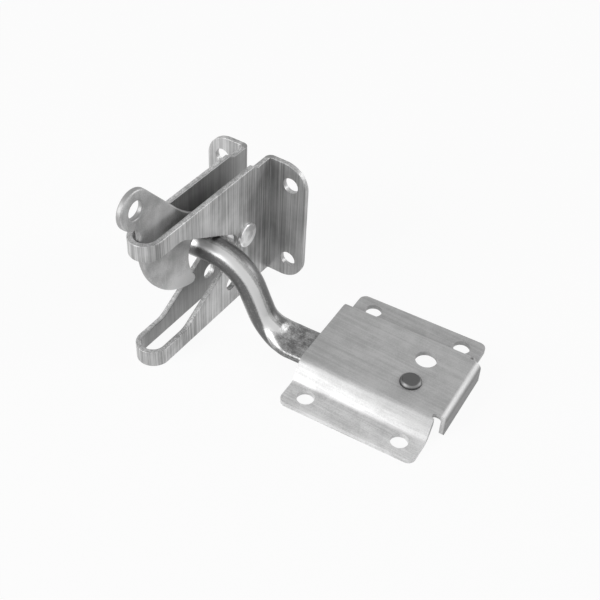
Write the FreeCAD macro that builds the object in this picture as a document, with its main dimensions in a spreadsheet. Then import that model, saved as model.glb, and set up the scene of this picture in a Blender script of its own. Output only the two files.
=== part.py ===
import FreeCAD, Part
import Sketcher
import math
import os

# Automatic gate latch: a folded steel catch that holds a pivoting pawl, and a strike
# plate whose round bar lies in the mouth of the catch.
# Frame: X forward, away from the post; Y along the bar, towards the strike plate; Z up.
# The origin is on the post face, in the middle of the four post screws. The catch stands
# on its lower edges and the strike plate lies beside it, on one level floor.

V = FreeCAD.Vector

# Driving dimensions in millimetres and degrees, kept in the spreadsheet.
SIZES = {
    # Catch: one strip folded round a front bend, with an ear for screws on each side.
    "catch_gauge": 2.5,
    "catch_width": 15.6,
    "catch_height": 68.5,
    "catch_length": 86.7,
    "ear_reach": 27.3,
    "ear_inset": 1.95,
    "ear_corner": 12,
    "ear_bend": 0.6,
    "step_start": 12,
    "step_run": 3,
    "screw_hole": 7.9,
    "sheet_round": 0.35,
    "post_screws_across": 38.1,
    "post_screws_up": 43,
    # Mouth that takes the bar, and the two arms that it leaves.
    "arm_depth": 8.3,
    "mouth_slope": 29.6,
    "mouth_play": 0.85,
    "mouth_reach": 34.1,
    "mouth_lip": 10,
    "lock_hole": 8,
    "lock_forward": 31.5,
    "lock_up": 12.75,
    # Pivot of the pawl.
    "rivet_forward": 20.5,
    "rivet_shank": 7.5,
    "rivet_head": 12.1,
    "rivet_rise": 1.5,
    "rivet_crown": 0.6,
    "running_gap": 0.08,
    "spacer_wall": 2.6,
    # Pawl.
    "pawl_gauge": 3,
    "pawl_round": 0.9,
    "pawl_boss": 7,
    "stop_gap": 0.45,
    "lug_ahead": 64.4,
    "lug_above": 50.9,
    "lug_radius": 9.1,
    "lug_hole": 8.2,
    "neck_fillet": 6,
    "back_behind": 6.6,
    "back_above": 78.5,
    "back_radius": 62.3,
    "belly_radius": 39.2,
    "belly_above": 28,
    "hook_play": 4.4,
    "hook_radius": 22,
    "hook_point": 2.4,
    # Bar.
    "bar_diameter": 12.7,
    "bar_forward": 43.2,
    "bar_gap": 0.25,
    "bar_tail": 16,
    "gate_turn": 3.77,
    "drop_start": 20.5,
    "drop_slope": 65.9,
    "upper_bend": 24,
    "lower_bend": 15,
    "flat_width": 19.1,
    "flat_thickness": 6,
    "flat_crown": 7,
    "flat_ahead": 3.5,
    "flat_ramp": 9,
    "flat_past_pin": 10,
    "bar_lift": 0.3,
    # Strike plate.
    "strike_gauge": 2.35,
    "strike_length": 64,
    "strike_width": 79,
    "strike_height": 11.6,
    "strike_away": 59.1,
    "strike_corner": 3.5,
    "strike_bend": 2.5,
    "channel_inset": 18.8,
    "channel_slope": 57,
    "channel_gap": 0.15,
    "gate_screw_end": 9.58,
    "gate_screw_side": 7.4,
    "pin_hole": 9.7,
    "pin_from_end": 17.17,
    "pin_offset": 7.82,
    "pin_proud": 1.8,
    "pin_chamfer": 1.1,
    "tab_reach": 4.6,
    "tab_foot": 1,
    "tab_bend": 1.3,
    "relief_width": 2.3,
    "relief_depth": 0.2,
}


def make_sheet(doc):
    """Spreadsheet with one named plain number a row."""
    sheet = doc.addObject("Spreadsheet::Sheet", "dims")
    for row, (alias, value) in enumerate(SIZES.items(), start=1):
        sheet.set(f"A{row}", alias)
        sheet.set(f"B{row}", str(value))
        sheet.setAlias(f"B{row}", alias)
    doc.recompute()
    return sheet


doc = FreeCAD.newDocument("gate_latch")
sheet = make_sheet(doc)


def size(alias):
    return float(sheet.get(alias))


def value(formula):
    """Value of a formula that names cells of the sheet, as the features read it."""
    return float(sheet.evalExpression(formula))


# Sketch helpers

def origin_plane(body, role):
    for feature in body.Origin.OriginFeatures:
        if feature.Role == role:
            return feature
    raise ValueError(role)


def new_body(label):
    body = doc.addObject("PartDesign::Body", label)
    body.Label = label
    return body


def new_sketch(body, name, role, offset=None):
    sketch = body.newObject("Sketcher::SketchObject", f"{body.Name}_{name}")
    sketch.AttachmentSupport = [(origin_plane(body, role), "")]
    sketch.MapMode = "FlatFace"
    if offset:
        sketch.setExpression("AttachmentOffset.Base.z", offset)
    return sketch


def bind(sketch, constraint, formula):
    index = sketch.addConstraint(constraint)
    sketch.setExpression(f"Constraints[{index}]", formula)


def pin_down(sketch, edge, end, across, up):
    """Hold a point of an edge at two formulas, measured from the sketch's origin."""
    for kind, formula in (("DistanceX", across), ("DistanceY", up)):
        bind(sketch, Sketcher.Constraint(kind, -1, 1, edge, end, value(formula)), formula)


def arc_between(start, end, radius, turn):
    """Minor arc from start to end; turn is 1 for counterclockwise, -1 for clockwise."""
    chord = end - start
    half = chord.Length / 2
    rise = math.sqrt(max(radius * radius - half * half, 0))
    side = V(-chord.y, chord.x, 0).normalize() * (rise * turn)
    centre = (start + end) * 0.5 + side
    first, last = (start, end) if turn > 0 else (end, start)
    angles = [math.atan2(p.y - centre.y, p.x - centre.x) for p in (first, last)]
    circle = Part.Circle(centre, V(0, 0, 1), radius)
    return Part.ArcOfCircle(circle, angles[0], angles[1])


def outline(sketch, corners):
    """Closed outline. Each corner is (across, up), or (across, up, radius, turn) where an
    arc leads to it from the corner before it."""
    points = [V(value(c[0]), value(c[1]), 0) for c in corners]
    ends = []
    for index, corner in enumerate(corners):
        start, end = points[index - 1], points[index]
        if len(corner) == 2:
            edge = sketch.addGeometry(Part.LineSegment(start, end))
            ends.append((edge, 1, 2))
            continue
        turn = corner[3]
        edge = sketch.addGeometry(arc_between(start, end, value(corner[2]), turn))
        ends.append((edge, 1, 2) if turn > 0 else (edge, 2, 1))
        bind(sketch, Sketcher.Constraint("Radius", edge, value(corner[2])), corner[2])
    for index, (edge, first, last) in enumerate(ends):
        follower = ends[(index + 1) % len(ends)]
        sketch.addConstraint(Sketcher.Constraint("Coincident", edge, last, follower[0], follower[1]))
        pin_down(sketch, edge, last, corners[index][0], corners[index][1])


def circle(sketch, across, up, diameter):
    edge = sketch.addGeometry(Part.Circle(V(value(across), value(up), 0), V(0, 0, 1), value(diameter) / 2))
    bind(sketch, Sketcher.Constraint("Diameter", edge, value(diameter)), diameter)
    pin_down(sketch, edge, 3, across, up)


# Feature helpers

# Angle between two faces, in radians, above which a sheared edge is rounded.
SHARP_TURN = 0.7


def pad(body, sketch, length, symmetric=False):
    feature = body.newObject("PartDesign::Pad", f"{sketch.Name}_pad")
    feature.Profile = sketch
    feature.setExpression("Length", length)
    feature.SideType = "Symmetric" if symmetric else "One side"
    doc.recompute()
    return feature


def pocket(body, sketch):
    """Cut a sketch out of a body, both ways."""
    before = body.Shape.Volume
    feature = body.newObject("PartDesign::Pocket", f"{sketch.Name}_pocket")
    feature.Profile = sketch
    feature.Type = "ThroughAll"
    feature.SideType = "Symmetric"
    doc.recompute()
    if not body.Shape.Volume < before - 1e-3:
        raise ValueError(f"{feature.Name} cuts nothing")
    return feature


def turned(label, corners):
    """Round piece about its own Z axis, from half of its section in radius and height."""
    body = new_body(label)
    sketch = new_sketch(body, "section", "XZ_Plane")
    outline(sketch, corners)
    feature = body.newObject("PartDesign::Revolution", f"{label}_turning")
    feature.Profile = sketch
    feature.ReferenceAxis = (sketch, ["V_Axis"])
    feature.Angle = 360
    doc.recompute()
    return body


def sharp_edges(shape):
    """Names of the edges where two faces turn sharply, apart from the rims of round holes."""
    names = []
    for number, edge in enumerate(shape.Edges, start=1):
        faces = shape.ancestorsOfType(edge, Part.Face)
        if len(faces) != 2 or edge.isClosed():
            continue
        middle = edge.valueAt((edge.FirstParameter + edge.LastParameter) / 2)
        normals = [face.normalAt(*face.Surface.parameter(middle)) for face in faces]
        if normals[0].getAngle(normals[1]) > SHARP_TURN:
            names.append(f"Edge{number}")
    return names


def fillet(body, feature, edges, radius):
    rounded = body.newObject("PartDesign::Fillet", f"{feature.Name}_fillet")
    rounded.Base = (feature, edges)
    rounded.setExpression("Radius", radius)
    doc.recompute()
    return rounded


# Formulas that several pieces share
HALF_HEIGHT = "dims.catch_height / 2"
HALF_WIDTH = "dims.catch_width / 2"
INNER_HALF = "(dims.catch_width / 2 - dims.catch_gauge)"
FRONT_AXIS = "(dims.catch_length - dims.catch_width / 2)"
MOUTH_RADIUS = "(dims.bar_diameter / 2 + dims.mouth_play)"


def make_catch():
    body = new_body("catch_body")
    plan = new_sketch(body, "plan", "XY_Plane")
    bend = "(dims.catch_gauge + dims.ear_bend)"
    outer_bend = f"({HALF_WIDTH} + dims.ear_bend)"
    outline(plan, [
        ("0", "dims.ear_reach"),
        ("0", outer_bend),
        (bend, INNER_HALF, bend, 1),
        (FRONT_AXIS, INNER_HALF),
        (f"{FRONT_AXIS} + {INNER_HALF}", "0", INNER_HALF, -1),
        (FRONT_AXIS, f"-{INNER_HALF}", INNER_HALF, -1),
        (bend, f"-{INNER_HALF}"),
        ("0", f"-{outer_bend}", bend, 1),
        ("0", "-dims.ear_reach"),
        ("dims.catch_gauge", "-dims.ear_reach"),
        ("dims.catch_gauge", f"-{outer_bend}"),
        (bend, f"-{HALF_WIDTH}", "dims.ear_bend", -1),
        (FRONT_AXIS, f"-{HALF_WIDTH}"),
        ("dims.catch_length", "0", HALF_WIDTH, 1),
        (FRONT_AXIS, HALF_WIDTH, HALF_WIDTH, 1),
        (bend, HALF_WIDTH),
        ("dims.catch_gauge", outer_bend, "dims.ear_bend", -1),
        ("dims.catch_gauge", "dims.ear_reach"),
    ])
    pad(body, plan, "dims.catch_height", symmetric=True)
    pocket(body, mouth_sketch(body))
    for name, side in (("lower_step", "-"), ("upper_step", "")):
        step = new_sketch(body, name, "XZ_Plane")
        edge = f"{side}{HALF_HEIGHT}"
        inset = f"{side}({HALF_HEIGHT} - dims.ear_inset)"
        beyond = f"{side}({HALF_HEIGHT} + dims.ear_inset)"
        outline(step, [
            ("-dims.ear_inset", inset),
            ("dims.step_start", inset),
            ("dims.step_start + dims.step_run", edge),
            ("dims.step_start + dims.step_run", beyond),
            ("-dims.ear_inset", beyond),
        ])
        pocket(body, step)
    trims = new_sketch(body, "ear_corners", "YZ_Plane")
    for side in ("", "-"):
        for end in ("", "-"):
            reach = f"{side}dims.ear_reach"
            back = f"{side}(dims.ear_reach - dims.ear_corner)"
            level = f"{end}({HALF_HEIGHT} - dims.ear_inset)"
            inward = f"{end}({HALF_HEIGHT} - dims.ear_inset - dims.ear_corner)"
            outline(trims, [
                (reach, inward),
                (back, level, "dims.ear_corner", 1 if side == end else -1),
                (reach, level),
            ])
    pocket(body, trims)
    screws = new_sketch(body, "post_screws", "YZ_Plane")
    for side in ("", "-"):
        for end in ("", "-"):
            circle(screws, f"{side}dims.post_screws_across / 2",
                   f"{end}dims.post_screws_up / 2", "dims.screw_hole")
    pocket(body, screws)
    through = new_sketch(body, "side_holes", "XZ_Plane")
    circle(through, "dims.lock_forward", f"dims.lock_up - {HALF_HEIGHT}", "dims.lock_hole")
    circle(through, "dims.rivet_forward", "0", "dims.rivet_shank")
    drilled = pocket(body, through)
    fillet(body, drilled, sharp_edges(drilled.Shape), "dims.sheet_round")
    return body


def mouth_sketch(body):
    """Mouth from the side: a round end for the bar, opening in a V to the level arms."""
    sketch = new_sketch(body, "mouth", "XZ_Plane")
    front = "dims.catch_length + dims.catch_gauge"
    half_gap = f"({HALF_HEIGHT} - dims.arm_depth)"
    touch = f"(dims.mouth_reach - {MOUTH_RADIUS} * sin(dims.mouth_slope))"
    rise = f"{MOUTH_RADIUS} * cos(dims.mouth_slope)"
    corner = f"({touch} + ({half_gap} - {rise}) / tan(dims.mouth_slope))"
    lip = "dims.mouth_lip * tan(dims.mouth_slope / 2)"
    lip_start = f"{corner} - {lip} * cos(dims.mouth_slope)"
    lip_rise = f"({half_gap} - {lip} * sin(dims.mouth_slope))"
    lip_end = f"{corner} + {lip}"
    outline(sketch, [
        (lip_start, lip_rise, "dims.mouth_lip", 1),
        (touch, rise),
        (f"dims.mouth_reach - {MOUTH_RADIUS}", "0", MOUTH_RADIUS, 1),
        (touch, f"-{rise}", MOUTH_RADIUS, 1),
        (lip_start, f"-{lip_rise}"),
        (lip_end, f"-{half_gap}", "dims.mouth_lip", 1),
        (front, f"-{half_gap}"),
        (front, half_gap),
        (lip_end, half_gap),
    ])
    return sketch


def make_rivet():
    """Rivet with a flat head on each side plate, along Y."""
    half = HALF_WIDTH
    crown = "dims.rivet_crown"
    body = turned("rivet", [
        ("0", f"-{half} - dims.rivet_rise"),
        (f"dims.rivet_head / 2 - {crown}", f"-{half} - dims.rivet_rise"),
        ("dims.rivet_head / 2", f"-{half} - dims.rivet_rise + {crown}", crown, 1),
        ("dims.rivet_head / 2", f"-{half}"),
        ("dims.rivet_shank / 2", f"-{half}"),
        ("dims.rivet_shank / 2", half),
        ("dims.rivet_head / 2", half),
        ("dims.rivet_head / 2", f"{half} + dims.rivet_rise - {crown}"),
        (f"dims.rivet_head / 2 - {crown}", f"{half} + dims.rivet_rise", crown, 1),
        ("0", f"{half} + dims.rivet_rise"),
    ])
    lay_across(body)
    return body


def make_spacer(label, way):
    """Sleeve on the rivet that keeps the pawl in the middle of the catch."""
    near = f"{way}(dims.pawl_gauge / 2 + dims.running_gap)"
    far = f"{way}{INNER_HALF}"
    low, high = (near, far) if way == "" else (far, near)
    body = turned(label, [
        ("dims.rivet_shank / 2", low),
        ("dims.rivet_shank / 2 + dims.spacer_wall", low),
        ("dims.rivet_shank / 2 + dims.spacer_wall", high),
        ("dims.rivet_shank / 2", high),
    ])
    lay_across(body)
    return body


def lay_across(body):
    """Lay a turned piece along Y, on the pivot of the pawl."""
    body.Placement = FreeCAD.Placement(V(0, 0, 0), FreeCAD.Rotation(V(1, 0, 0), -90))
    body.setExpression("Placement.Base.x", "dims.rivet_forward")


def make_pawl():
    body = new_body("pawl")
    sketch = new_sketch(body, "side", "XZ_Plane")
    pawl_outline(sketch)
    plate = pad(body, sketch, "dims.pawl_gauge", symmetric=True)
    lug = new_sketch(body, "lug_hole", "XZ_Plane")
    circle(lug, LUG[0], LUG[1], "dims.lug_hole")
    holed = pocket(body, lug)
    rounded = fillet(body, holed, flat_edges(holed.Shape), "dims.pawl_round")
    pivot = new_sketch(body, "pivot_hole", "XZ_Plane")
    circle(pivot, PIVOT[0], PIVOT[1], "dims.rivet_shank + 2 * dims.running_gap")
    pocket(body, pivot)
    return body


def flat_edges(shape):
    """Names of the edges round the two flat faces of the pawl."""
    half = size("pawl_gauge") / 2
    return [
        f"Edge{number}"
        for number, edge in enumerate(shape.Edges, start=1)
        if edge.BoundBox.YLength < 1e-6 and abs(abs(edge.BoundBox.YMax) - half) < 1e-6
    ]


# Level of the bar above the middle of the mouth: just under the upper edge.
BAR_LEVEL = (
    "((dims.bar_forward - dims.catch_width / 2 * tan(dims.gate_turn) - dims.mouth_reach)"
    " * tan(dims.mouth_slope)"
    " + (dims.mouth_play - dims.bar_gap) / cos(dims.mouth_slope))"
)
PIVOT = ("dims.rivet_forward", "0")
LUG = ("(dims.rivet_forward + dims.lug_ahead)", "dims.lug_above")


def pawl_outline(sketch):
    """Side view of the pawl, every edge tangent to the next.

    Arcs are (centre, radius, turn). The runs of arcs are joined by straight edges: up the
    neck, down the back to the boss, and from the boss to the arch over the bar."""
    neck = f"({FRONT_AXIS} + {INNER_HALF} - dims.stop_gap)"
    arch_radius = "(dims.bar_diameter / 2 + dims.hook_play)"
    lug = (LUG, "dims.lug_radius", 1)
    back = (("dims.rivet_forward - dims.back_behind", "dims.back_above"), "dims.back_radius", -1)
    boss = (PIVOT, "dims.pawl_boss", 1)
    arch = (("dims.bar_forward", BAR_LEVEL), arch_radius, -1)
    hook = ((f"dims.bar_forward + {arch_radius} - dims.hook_radius", BAR_LEVEL), "dims.hook_radius", -1)
    belly = ((f"{neck} - dims.belly_radius", "dims.belly_above"), "dims.belly_radius", 1)

    def spot(arc):
        return V(value(arc[0][0]), value(arc[0][1]), 0)

    def leaving(arc, heading):
        """Point where a straight edge of this heading touches an arc."""
        radius = value(arc[1]) * arc[2]
        return spot(arc) + V(math.sin(heading), -math.cos(heading), 0) * radius

    def heading_between(first, second):
        gap = spot(second) - spot(first)
        offset = (value(first[1]) * first[2] - value(second[1]) * second[2]) / gap.Length
        return math.atan2(gap.y, gap.x) + math.asin(offset)

    neck_x = value(neck)
    lug_spot = spot(lug)
    reach = value("dims.lug_radius + dims.neck_fillet")
    throat_x = neck_x + size("neck_fillet")
    throat = V(throat_x, lug_spot.y - math.sqrt(reach ** 2 - (throat_x - lug_spot.x) ** 2), 0)
    point = circles_meet(
        spot(hook), value("dims.hook_radius + dims.hook_point"),
        spot(belly), value("dims.belly_radius - dims.hook_point"))
    first_back = heading_between(lug, back)
    second_back = heading_between(back, boss)
    under = heading_between(boss, arch)
    neck_top = V(neck_x, throat.y, 0)
    neck_foot = V(neck_x, spot(belly).y, 0)
    lug_start = throat + (lug_spot - throat) * (size("neck_fillet") / reach)
    hook_start = spot(arch) + V(value(arch_radius), 0, 0)
    hook_end = spot(hook) + (point - spot(hook)) * (size("hook_radius") / (point - spot(hook)).Length)
    belly_start = point + (point - spot(belly)) * (size("hook_point") / (point - spot(belly)).Length)
    stages = [
        ("line", neck_foot, neck_top),
        ("arc", throat, -1, neck_top, lug_start),
        ("arc", lug_spot, 1, lug_start, leaving(lug, first_back)),
        ("line", leaving(lug, first_back), leaving(back, first_back)),
        ("arc", spot(back), -1, leaving(back, first_back), leaving(back, second_back)),
        ("line", leaving(back, second_back), leaving(boss, second_back)),
        ("arc", spot(boss), 1, leaving(boss, second_back), leaving(boss, under)),
        ("line", leaving(boss, under), leaving(arch, under)),
        ("arc", spot(arch), -1, leaving(arch, under), hook_start),
        ("arc", spot(hook), -1, hook_start, hook_end),
        ("arc", point, 1, hook_end, belly_start),
        ("arc", spot(belly), 1, belly_start, neck_foot),
    ]
    ends = [tangent_edge(sketch, stage) for stage in stages]
    for index, (edge, first, last) in enumerate(ends):
        follower = ends[(index + 1) % len(ends)]
        sketch.addConstraint(Sketcher.Constraint("Tangent", edge, last, follower[0], follower[1]))
    neck_edge, throat_edge, lug_edge, _, back_edge, _, boss_edge, _, arch_edge, hook_edge, point_edge, belly_edge = (
        end[0] for end in ends)
    sketch.addConstraint(Sketcher.Constraint("Vertical", neck_edge))
    bind(sketch, Sketcher.Constraint("DistanceX", -1, 1, neck_edge, 1, neck_x), neck)
    for edge, arc in ((lug_edge, lug), (back_edge, back), (boss_edge, boss), (arch_edge, arch)):
        pin_down(sketch, edge, 3, arc[0][0], arc[0][1])
        bind(sketch, Sketcher.Constraint("Radius", edge, value(arc[1])), arc[1])
    for edge, arc in ((hook_edge, hook), (belly_edge, belly)):
        bind(sketch, Sketcher.Constraint("DistanceY", -1, 1, edge, 3, value(arc[0][1])), arc[0][1])
        bind(sketch, Sketcher.Constraint("Radius", edge, value(arc[1])), arc[1])
    bind(sketch, Sketcher.Constraint("Radius", throat_edge, size("neck_fillet")), "dims.neck_fillet")
    bind(sketch, Sketcher.Constraint("Radius", point_edge, size("hook_point")), "dims.hook_point")


def circles_meet(first, first_radius, second, second_radius):
    """Meeting point of two circles that lies to the right of the way from first to second."""
    gap = second - first
    along = (first_radius ** 2 - second_radius ** 2 + gap.Length ** 2) / (2 * gap.Length)
    across = math.sqrt(first_radius ** 2 - along ** 2)
    way = gap * (1 / gap.Length)
    return first + way * along + V(way.y, -way.x, 0) * across


def tangent_edge(sketch, stage):
    if stage[0] == "line":
        return sketch.addGeometry(Part.LineSegment(stage[1], stage[2])), 1, 2
    centre, turn, start, end = stage[1:]
    first, last = (start, end) if turn > 0 else (end, start)
    angles = [math.atan2(p.y - centre.y, p.x - centre.x) for p in (first, last)]
    round_edge = Part.Circle(centre, V(0, 0, 1), (start - centre).Length)
    edge = sketch.addGeometry(Part.ArcOfCircle(round_edge, angles[0], angles[1]))
    return (edge, 1, 2) if turn > 0 else (edge, 2, 1)


# The bar, its pin and the strike plate share a frame: X along the bar, away from the
# catch, from where the bar crosses the mid-plane of the catch; Z up from the floor.
BAR_HEIGHT = f"({HALF_HEIGHT} + {BAR_LEVEL})"
LOW_HEIGHT = "(dims.bar_diameter / 2 + dims.bar_lift)"
FLAT_TOP = "(dims.strike_height - dims.strike_gauge - dims.channel_gap)"
FLAT_FOOT = f"({FLAT_TOP} - dims.flat_thickness)"
FLAT_MIDDLE = f"({FLAT_TOP} - dims.flat_thickness / 2)"
FLAT_FROM = "(dims.strike_away - dims.flat_ahead)"
ROUND_TO = f"({FLAT_FROM} - dims.flat_ramp)"
PIN_ALONG = "(dims.strike_away + dims.strike_length - dims.pin_from_end)"
BAR_END = f"({PIN_ALONG} + dims.flat_past_pin)"
PIN_DIAMETER = "(dims.pin_hole - 2 * dims.running_gap)"
CHANNEL_MIDDLE = "dims.pin_offset"


def set_beside(body):
    """Turn a piece of the gate side into place beside the catch."""
    body.Placement = FreeCAD.Placement(V(0, 0, 0), FreeCAD.Rotation(V(0, 0, 1), 90))
    body.setExpression("Placement.Base.x", "dims.bar_forward")
    body.setExpression("Placement.Base.z", f"-{HALF_HEIGHT}")
    body.setExpression("Placement.Rotation.Angle", "90 + dims.gate_turn")


def make_bar():
    """Round bar, bent down to the gate and flattened where it enters the channel."""
    body = new_body("strike_bar")
    path = new_sketch(body, "path", "XZ_Plane")
    bar_path(path)
    section = new_sketch(body, "section", "YZ_Plane", "-dims.bar_tail")
    circle(section, "0", BAR_HEIGHT, "dims.bar_diameter")
    pipe = body.newObject("PartDesign::AdditivePipe", "strike_bar_round")
    pipe.Profile = section
    pipe.Spine = (path, [])
    doc.recompute()
    start = new_sketch(body, "round_end", "YZ_Plane", ROUND_TO)
    circle(start, "0", LOW_HEIGHT, "dims.bar_diameter")
    spread = new_sketch(body, "spread", "YZ_Plane", FLAT_FROM)
    oval(spread)
    loft = body.newObject("PartDesign::AdditiveLoft", "strike_bar_shoulder")
    loft.Profile = start
    loft.Sections = [spread]
    doc.recompute()
    tongue = new_sketch(body, "tongue", "YZ_Plane", FLAT_FROM)
    oval(tongue)
    pad(body, tongue, f"{BAR_END} - {FLAT_FROM}")
    for name, face, rough in (
        ("top_flat", FLAT_TOP, f"{LOW_HEIGHT} + dims.bar_diameter"),
        ("under_flat", FLAT_FOOT, f"{LOW_HEIGHT} - dims.bar_diameter"),
    ):
        sign = "+" if name == "top_flat" else "-"
        flat = new_sketch(body, name, "XZ_Plane")
        outline(flat, [
            (ROUND_TO, f"{LOW_HEIGHT} {sign} dims.bar_diameter / 2"),
            (FLAT_FROM, face),
            (f"{BAR_END} + dims.flat_width", face),
            (f"{BAR_END} + dims.flat_width", rough),
            (ROUND_TO, rough),
        ])
        pocket(body, flat)
    end = new_sketch(body, "tongue_end", "XY_Plane")
    round_from = f"{BAR_END} - dims.flat_width / 2"
    beyond = f"{BAR_END} + dims.flat_width"
    outline(end, [
        (round_from, "dims.flat_width / 2"),
        (BAR_END, "0", "dims.flat_width / 2", -1),
        (round_from, "-dims.flat_width / 2", "dims.flat_width / 2", -1),
        (round_from, "-dims.flat_width"),
        (beyond, "-dims.flat_width"),
        (beyond, "dims.flat_width"),
        (round_from, "dims.flat_width"),
    ])
    pocket(body, end)
    bore = new_sketch(body, "pin_bore", "XY_Plane")
    circle(bore, PIN_ALONG, "0", PIN_DIAMETER)
    pocket(body, bore)
    set_beside(body)
    return body


def oval(sketch):
    """Oval that the round bar spreads into before its faces are flat."""
    middle = V(0, value(FLAT_MIDDLE), 0)
    wide = V(size("flat_width") / 2, 0, 0)
    high = V(0, size("flat_crown"), 0)
    sketch.addGeometry(Part.Ellipse(middle + wide, middle + high, middle))


def bar_path(sketch):
    """Level through the catch, down at a slope, and level again above the floor."""
    fall = f"({BAR_HEIGHT} - {LOW_HEIGHT})"
    drop_end = f"(dims.drop_start + {fall} / tan(dims.drop_slope))"
    upper = "dims.upper_bend * tan(dims.drop_slope / 2)"
    lower = "dims.lower_bend * tan(dims.drop_slope / 2)"
    along, down = "cos(dims.drop_slope)", "sin(dims.drop_slope)"
    stops = [
        ("-dims.bar_tail", BAR_HEIGHT),
        (f"dims.drop_start - {upper}", BAR_HEIGHT),
        (f"dims.drop_start + {upper} * {along}", f"{BAR_HEIGHT} - {upper} * {down}", "dims.upper_bend", -1),
        (f"{drop_end} - {lower} * {along}", f"{LOW_HEIGHT} + {lower} * {down}"),
        (f"{drop_end} + {lower}", LOW_HEIGHT, "dims.lower_bend", 1),
        (ROUND_TO, LOW_HEIGHT),
    ]
    run(sketch, stops)


def run(sketch, stops):
    """Open run of lines and arcs, written like an outline."""
    points = [V(value(stop[0]), value(stop[1]), 0) for stop in stops]
    last_end = None
    for index in range(1, len(stops)):
        start, end, stop = points[index - 1], points[index], stops[index]
        turn = stop[3] if len(stop) > 2 else 0
        if turn:
            edge = sketch.addGeometry(arc_between(start, end, value(stop[2]), turn))
            bind(sketch, Sketcher.Constraint("Radius", edge, value(stop[2])), stop[2])
        else:
            edge = sketch.addGeometry(Part.LineSegment(start, end))
        first, last = (2, 1) if turn < 0 else (1, 2)
        if last_end:
            sketch.addConstraint(Sketcher.Constraint("Coincident", last_end[0], last_end[1], edge, first))
        else:
            pin_down(sketch, edge, first, stops[0][0], stops[0][1])
        pin_down(sketch, edge, last, stop[0], stop[1])
        last_end = (edge, last)


def make_pin():
    """Pin pressed in the flat of the bar; its chamfered end stands out of the plate."""
    top = "dims.strike_height + dims.pin_proud"
    radius = f"{PIN_DIAMETER} / 2"
    body = turned("pivot_pin", [
        ("0", FLAT_FOOT),
        (radius, FLAT_FOOT),
        (radius, f"{top} - dims.pin_chamfer"),
        (f"{radius} - dims.pin_chamfer", top),
        ("0", top),
    ])
    body.setExpression("Placement.Base.x", f"dims.bar_forward - {PIN_ALONG} * sin(dims.gate_turn)")
    body.setExpression("Placement.Base.y", f"{PIN_ALONG} * cos(dims.gate_turn)")
    body.setExpression("Placement.Base.z", f"-{HALF_HEIGHT}")
    return body


def make_strike_plate():
    """Channelled plate, with a tab folded down across the end of its channel."""
    body = new_body("strike_plate")
    hat = new_sketch(body, "hat", "YZ_Plane", "dims.strike_away")
    hat_outline(hat)
    pad(body, hat, "dims.strike_length")
    reliefs = new_sketch(body, "reliefs", "XY_Plane")
    far_end = "(dims.strike_away + dims.strike_length)"
    relief_middle = "(dims.strike_width / 2 - dims.channel_inset - dims.relief_width / 2)"
    half = "dims.relief_width / 2"
    deep = f"{far_end} - dims.relief_depth"
    for side in ("-", "+"):
        middle = f"{CHANNEL_MIDDLE} {side} {relief_middle}"
        outline(reliefs, [
            (deep, f"{middle} - {half}", half, 1),
            (f"{far_end} + {half}", f"{middle} - {half}"),
            (f"{far_end} + {half}", f"{middle} + {half}"),
            (deep, f"{middle} + {half}"),
            (f"{deep} - {half}", middle, half, 1),
        ])
    pocket(body, reliefs)
    tab = new_sketch(body, "tab", "XZ_Plane", f"-{CHANNEL_MIDDLE}")
    face = f"({far_end} + dims.tab_reach)"
    under = "(dims.strike_height - dims.strike_gauge)"
    outer = "(dims.strike_gauge + dims.tab_bend)"
    outline(tab, [
        (deep, under),
        (f"{face} - {outer}", under),
        (f"{face} - dims.strike_gauge", f"{under} - dims.tab_bend", "dims.tab_bend", -1),
        (f"{face} - dims.strike_gauge", "dims.tab_foot"),
        (face, "dims.tab_foot"),
        (face, f"dims.strike_height - {outer}"),
        (f"{face} - {outer}", "dims.strike_height", outer, 1),
        (deep, "dims.strike_height"),
    ])
    pad(body, tab, "dims.strike_width - 2 * (dims.channel_inset + dims.relief_width)", symmetric=True)
    trims = new_sketch(body, "corners", "XY_Plane")
    for end, back, end_turn in (("dims.strike_away", "+", 1), (far_end, "-", -1)):
        for side, inward, side_turn in (("-", "+", 1), ("+", "-", -1)):
            edge = f"{CHANNEL_MIDDLE} {side} dims.strike_width / 2"
            outline(trims, [
                (f"{end} {back} dims.strike_corner", edge),
                (end, f"{edge} {inward} dims.strike_corner", "dims.strike_corner", -end_turn * side_turn),
                (end, edge),
            ])
    pocket(body, trims)
    holes = new_sketch(body, "holes", "XY_Plane")
    for along in ("dims.strike_away + dims.gate_screw_end", f"{far_end} - dims.gate_screw_end"):
        for side in ("-", "+"):
            circle(holes, along, f"{CHANNEL_MIDDLE} {side} (dims.strike_width / 2 - dims.gate_screw_side)",
                   "dims.screw_hole")
    circle(holes, PIN_ALONG, "0", "dims.pin_hole")
    circle(holes, PIN_ALONG, "2 * dims.pin_offset", "dims.pin_hole")
    pocket(body, holes)
    set_beside(body)
    return body


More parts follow.
